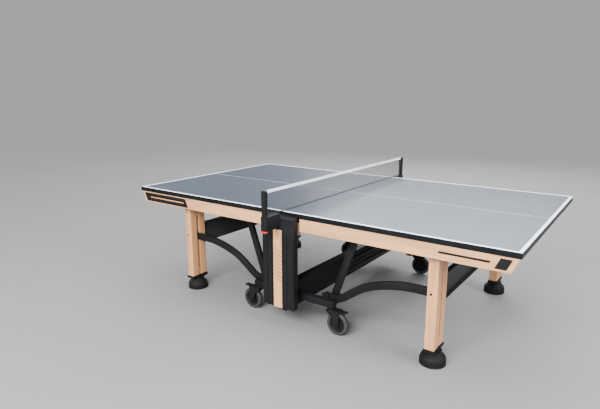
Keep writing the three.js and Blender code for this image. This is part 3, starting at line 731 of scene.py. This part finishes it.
def dress(node, material, width, segments=2):
    """A carried-over CAD node: welded, edges rounded, with its own material."""
    node.data.materials.clear()
    node.data.materials.append(material)
    weld = node.modifiers.new("weld", "WELD")
    weld.merge_threshold = 0.00002
    for face in node.data.polygons:
        face.use_smooth = True
    bevel = node.modifiers.new("eased_edges", "BEVEL")
    bevel.width = width
    bevel.segments = segments
    bevel.limit_method = "ANGLE"
    bevel.angle_limit = math.radians(40.0)
    bevel.harden_normals = True


def dress_kept_nodes():
    """Materials and edge radii for the steel and moulded parts whose CAD shape is right."""
    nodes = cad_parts
    for half in HALVES:
        dress(nodes[f"{half}_top_frame"], COAT, 0.0008, 1)
        dress(nodes[f"{half}_swing_frame"], COAT, 0.003, 3)
        dress(nodes[f"{half}_lift_shaft"], PLATED, 0.001)
        dress(nodes[f"{half}_leg_hinge_shaft"], PLATED, 0.001)
        # The leg panels take the paler coat, which is painted fill light for their deep shade
        dress(nodes[f"{half}_leg_panel"], PAINTED_FILL_PANEL_COAT, 0.0015)
        for side in SIDES:
            dress(nodes[f"{half}_{side}_link"], COAT, 0.003, 3)
            dress(nodes[f"{half}_{side}_caster_fork"], PLASTIC, 0.002, 3)
            dress(nodes[f"{half}_{side}_brake_pedal"], PLASTIC, 0.0015)
    for side in SIDES:
        dress(nodes[f"{side}_column"], COAT, 0.0015, 3)
        dress(nodes[f"{side}_foot_rail"], COAT, 0.0015)
        dress(nodes[f"{side}_net_post"], COAT, 0.002, 3)
        dress(nodes[f"{side}_lock_button"], RED, 0.002, 3)
    dress(nodes["cross_beam"], COAT, 0.003, 3)


# ---------------------------------------------------------------- casters

def wheel(half, side):
    """Tyre with rounded shoulders, on a dished and ribbed hub."""
    tyre_node, hub_node = f"{half}_{side}_caster_tyre", f"{half}_{side}_caster_hub"
    low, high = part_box(tyre_node)
    c = (low + high) / 2
    radius = high.z - c.z
    half_width = (high.y - low.y) / 2
    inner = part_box(hub_node)[1].z - c.z
    body = f"{half}_{side}_caster_wheel"
    seat = along_y(c.x, c.y, c.z)
    shoulder = arc(radius - TYRE_CROWN, half_width - TYRE_CROWN, TYRE_CROWN, 0.0, 90.0, 8)
    shoulder.append((inner, half_width - TYRE_BEAD))
    mirrored = [(r, -w) for r, w in reversed(shoulder)]
    tyre = bmesh.new()
    add_turned(tyre, mirrored + shoulder, seat, 64, closed=True)
    softened(new_piece(f"{half}_{side}_tyre", tyre, TYRE, body, [tyre_node]), 40.0)
    rim, w = inner - HUB_GAP, half_width - HUB_INSET
    dish = [(0.0063, -w), (0.014, -w), (0.017, 0.002 - w), (0.019, 0.007 - w),
            (rim - 0.012, 0.008 - w), (rim - 0.006, 0.001 - w), (rim, -w)]
    hub = bmesh.new()
    add_turned(hub, dish + [(r, -h) for r, h in reversed(dish)], seat, 48, closed=True)
    size = Matrix.Diagonal((rim - 0.024, *HUB_RIB_SECTION, 1.0))
    for step in (-1, 1):
        shift = Matrix.Translation(((rim + 0.012) / 2, 0, step * (w - 0.0065)))
        for i in range(HUB_RIBS):
            across = Matrix.Rotation(math.tau * i / HUB_RIBS, 4, "Z")
            rib = bmesh.ops.create_cube(hub, size=1.0)
            bmesh.ops.transform(hub, matrix=seat @ across @ shift @ size, verts=rib["verts"])
    softened(new_piece(f"{half}_{side}_hub", hub, PLASTIC, body, [hub_node]))


def caster_details(half, side):
    """Axle nuts and a raised tread on the brake pedal."""
    fork_low, fork_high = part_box(f"{half}_{side}_caster_fork")
    hub = centre_of(f"{half}_{side}_caster_hub")
    nuts = bmesh.new()
    for y, t in ((fork_low.y, -1), (fork_high.y, 1)):
        place = Matrix.Translation((hub.x, y - t * NUT_SUNK, hub.z))
        add_turned(nuts, NUT_PROFILE, place @ facing_y(t), 6)
    softened(new_piece(f"{half}_{side}_axle_nuts", nuts, COAT, f"{half}_{side}_caster"))
    pedal_low, pedal_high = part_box(f"{half}_{side}_brake_pedal")
    s = HALVES[half]
    outer = pedal_high.x if s > 0 else pedal_low.x
    dx, dy = PEDAL_RIB_HALF
    ribs = bmesh.new()
    for i in range(PEDAL_RIBS):
        x = outer - s * (PEDAL_RIB_FIRST + i * PEDAL_RIB_STEP)
        add_block(ribs, (x - dx, hub.y - dy, pedal_high.z - PEDAL_RIB_SUNK),
                  (x + dx, hub.y + dy, pedal_high.z + PEDAL_RIB_PROUD))
    body = f"{half}_{side}_caster_pedal"
    softened(new_piece(f"{half}_{side}_pedal_ribs", ribs, PLASTIC, body))


# ---------------------------------------------------------------- columns

def column_inlay(side):
    """Wooden strip on the column's outer face, with a run of plain sweeping dark lines."""
    node = f"{side}_column_inlay"
    low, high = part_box(node)
    mesh = bmesh.new()
    add_block(mesh, low, high)
    eased(new_piece(f"{side}_wood_inlay", mesh, WOOD_Z, "chassis", [node]), 0.0012, 3)
    t = SIDES[side]
    face = high.y if t > 0 else low.y
    middle = low.z + GROOVES_MIDDLE * (high.z - low.z)
    grooves = bmesh.new()
    for i in range(GROOVE_COUNT):
        z = middle + (i - GROOVE_COUNT / 2) * GROOVE_STEP
        sweep = curved_groove(low.x + GROOVE_MARGIN, high.x - GROOVE_MARGIN, z)
        add_plate(grooves, sweep, face - t * GROOVE_SUNK, face + t * GROOVE_PROUD)
    new_piece(f"{side}_inlay_grooves", grooves, PLASTIC, "chassis")


def curved_groove(x0, x1, z):
    """Outline of a thin dark line that falls steeply, then flattens out."""
    fall = []
    for i in range(GROOVE_SEGMENTS + 1):
        along = i / GROOVE_SEGMENTS
        fall.append((x0 + (x1 - x0) * along, z + GROOVE_RISE * (1 - along) ** GROOVE_CURVE))
    return fall + [(x, top + GROOVE_WIDTH) for x, top in reversed(fall)]


def column_trim(side):
    """Raised flutes on the column, and plugs on the foot rail's ends."""
    low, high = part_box(f"{side}_column")
    t = SIDES[side]
    outer = high.y if t > 0 else low.y
    bottom, top = low.z + FLUTE_MARGINS[0], high.z - FLUTE_MARGINS[1]
    trim = bmesh.new()
    for x in FLUTES_X:
        add_block(trim, (x - FLUTE_HALF, outer - t * SEATED, bottom),
                  (x + FLUTE_HALF, outer + t * FLUTE_PROUD, top))
    eased(new_piece(f"{side}_column_trim", trim, PLASTIC, "chassis"), 0.0012, 3)
    rail_low, rail_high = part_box(f"{side}_foot_rail")
    plugs = bmesh.new()
    for x, s in ((rail_low.x, -1), (rail_high.x, 1)):
        add_block(plugs, (x - s * PLUG_SUNK, t * PLUG_Y[0], PLUG_Z[0]),
                  (x + s * PLUG_PROUD, t * PLUG_Y[1], PLUG_Z[1]))
    eased(new_piece(f"{side}_rail_plugs", plugs, PLASTIC, "chassis"), 0.0018, 3)


# ---------------------------------------------------------------- net

def add_strand(mesh, start, end, radius):
    """A four-sided cord between two points."""
    start, end = Vector(start), Vector(end)
    line = (end - start).normalized()
    side = line.orthogonal().normalized() * radius
    up = line.cross(side).normalized() * radius
    offsets = (side, up, -side, -up)
    first = [mesh.verts.new(start + o) for o in offsets]
    last = [mesh.verts.new(end + o) for o in offsets]
    add_rings(mesh, [first, last])


def net():
    """Crossed cords with a white top tape, a hem at each end and a bottom cord."""
    low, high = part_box("net")
    length, height = high.y - low.y, high.z - low.z
    y0, y1 = low.y + NET_MARGIN, high.y - NET_MARGIN
    z0, z1 = low.z + NET_MARGIN, high.z - 2 * NET_MARGIN
    columns, rows = round(length / STRAND_STEP), round(height / STRAND_STEP)
    mesh = bmesh.new()
    for i in range(columns + 1):
        y = y0 + (y1 - y0) * i / columns
        add_strand(mesh, (-STRAND_SHIFT, y, z0), (-STRAND_SHIFT, y, z1), STRAND_RADIUS)
    for i in range(rows + 1):
        z = z0 + (z1 - z0) * i / rows
        add_strand(mesh, (STRAND_SHIFT, y0, z), (STRAND_SHIFT, y1, z), STRAND_RADIUS)
    piece = new_piece("net_mesh", mesh, NET_CORD, "chassis", ["net"])
    tape = bmesh.new()
    flank = [(TAPE_HALF, high.z - TAPE_DEPTH), (TAPE_HALF, high.z - TAPE_HALF),
             (TAPE_HALF / 2, high.z - TAPE_GAP)]
    add_plate(tape, flank + [(-x, z) for x, z in reversed(flank)], low.y, high.y)
    top_tape = new_piece("net_top_tape", tape, WHITE_TAPE, "chassis")
    hems = bmesh.new()
    for start, end in ((low.y, low.y + HEM_WIDTH), (high.y - HEM_WIDTH, high.y)):
        add_block(hems, (-HEM_HALF, start, low.z), (HEM_HALF, end, high.z - TAPE_DEPTH))
    side_hems = new_piece("net_side_hems", hems, DARK_TAPE, "chassis")
    cord = bmesh.new()
    section = [(0.0, 0.0), (BOTTOM_CORD_RADIUS, 0.0), (BOTTOM_CORD_RADIUS, length), (0.0, length)]
    add_turned(cord, section, along_y(0.0, low.y, low.z + BOTTOM_CORD_RISE), 10)
    bottom_cord = softened(new_piece("net_bottom_cord", cord, NET_CORD, "chassis"))


def net_fittings(side):
    """Post cap and bracket screws on one net post."""
    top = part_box(f"{side}_net_post")[1].z
    t = SIDES[side]
    y = t * NET_POST_Y
    cap = bmesh.new()
    for reach, bottom, drop in POST_CAP:
        add_block(cap, (-reach, y - reach, top - bottom), (reach, y + reach, top - drop))
    eased(new_piece(f"{side}_post_cap", cap, PLASTIC, "chassis"), 0.0012, 3)
    screws = bmesh.new()
    for s in (-1, 1):
        turn = Matrix.Rotation(s * math.pi / 2, 4, "Y")
        for z in BRACKET_SCREWS_Z:
            place = Matrix.Translation((s * BRACKET_SCREWS_X, t * BRACKET_SCREWS_Y, z))
            bolt_head(screws, place @ turn, BRACKET_SCREW_RADIUS, BRACKET_SCREW_HEIGHT)
    softened(new_piece(f"{side}_bracket_screws", screws, PLASTIC, "chassis"))


# ---------------------------------------------------------------- stage

def light(name, place, aim, size, watts):
    """A rectangular soft light that points at a place."""
    data = bpy.data.lights.new(name, "AREA")
    data.shape = "RECTANGLE"
    data.size, data.size_y = size
    data.energy = watts
    lamp = bpy.data.objects.new(name, data)
    lamp.location = place
    lamp.rotation_euler = (Vector(aim) - Vector(place)).to_track_quat("-Z", "Y").to_euler()
    bpy.context.scene.collection.objects.link(lamp)


def stage():
    """Plain floor, sky and lights."""
    mesh = bmesh.new()
    bmesh.ops.create_grid(mesh, x_segments=1, y_segments=1, size=FLOOR_HALF)
    data = bpy.data.meshes.new("floor")
    mesh.to_mesh(data)
    mesh.free()
    data.materials.append(pale_floor())
    floor = bpy.data.objects.new("floor", data)
    floor.location.z = -FLOOR_DROP
    bpy.context.scene.collection.objects.link(floor)
    soft_room()
    for lamp in LIGHTS:
        light(*lamp)


def soft_room():
    """A soft grey sky that grows brighter overhead."""
    world = bpy.data.worlds.new("soft_room")
    world.use_nodes = True
    tree = world.node_tree
    place = tree.nodes.new("ShaderNodeTexCoord").outputs["Generated"]
    axes = tree.nodes.new("ShaderNodeSeparateXYZ")
    ramp = tree.nodes.new("ShaderNodeValToRGB")
    tree.links.new(place, axes.inputs["Vector"])
    tree.links.new(axes.outputs["Z"], ramp.inputs["Fac"])
    for element, (at, colour) in zip(ramp.color_ramp.elements, SKY_RAMP):
        element.position, element.color = at, colour
    background = tree.nodes["Background"]
    tree.links.new(ramp.outputs["Color"], background.inputs["Color"])
    background.inputs["Strength"].default_value = SKY_STRENGTH
    bpy.context.scene.world = world


def camera():
    """The photograph's viewpoint."""
    data = bpy.data.cameras.new("camera")
    data.sensor_width = 36.0
    data.lens = CAMERA_LENS
    cam = bpy.data.objects.new("camera", data)
    look = Vector((math.cos(CAMERA_TILT) * math.sin(CAMERA_HEADING),
                   math.cos(CAMERA_TILT) * math.cos(CAMERA_HEADING), math.sin(CAMERA_TILT)))
    cam.location = CAMERA_PLACE
    cam.rotation_mode = "QUATERNION"
    cam.rotation_quaternion = look.to_track_quat("-Z", "Y")
    bpy.context.scene.collection.objects.link(cam)
    bpy.context.scene.camera = cam


camera()
stage()
dress_kept_nodes()
for half in HALVES:
    half_board(half)
    half_rim(half)
    for side in SIDES:
        apron(half, side)
        leg_posts(half, side)
        leg_collar(half, side)
        levelling_foot(half, side)
        wheel(half, side)
        caster_details(half, side)
for side in SIDES:
    column_inlay(side)
    column_trim(side)
    net_fittings(side)
net()
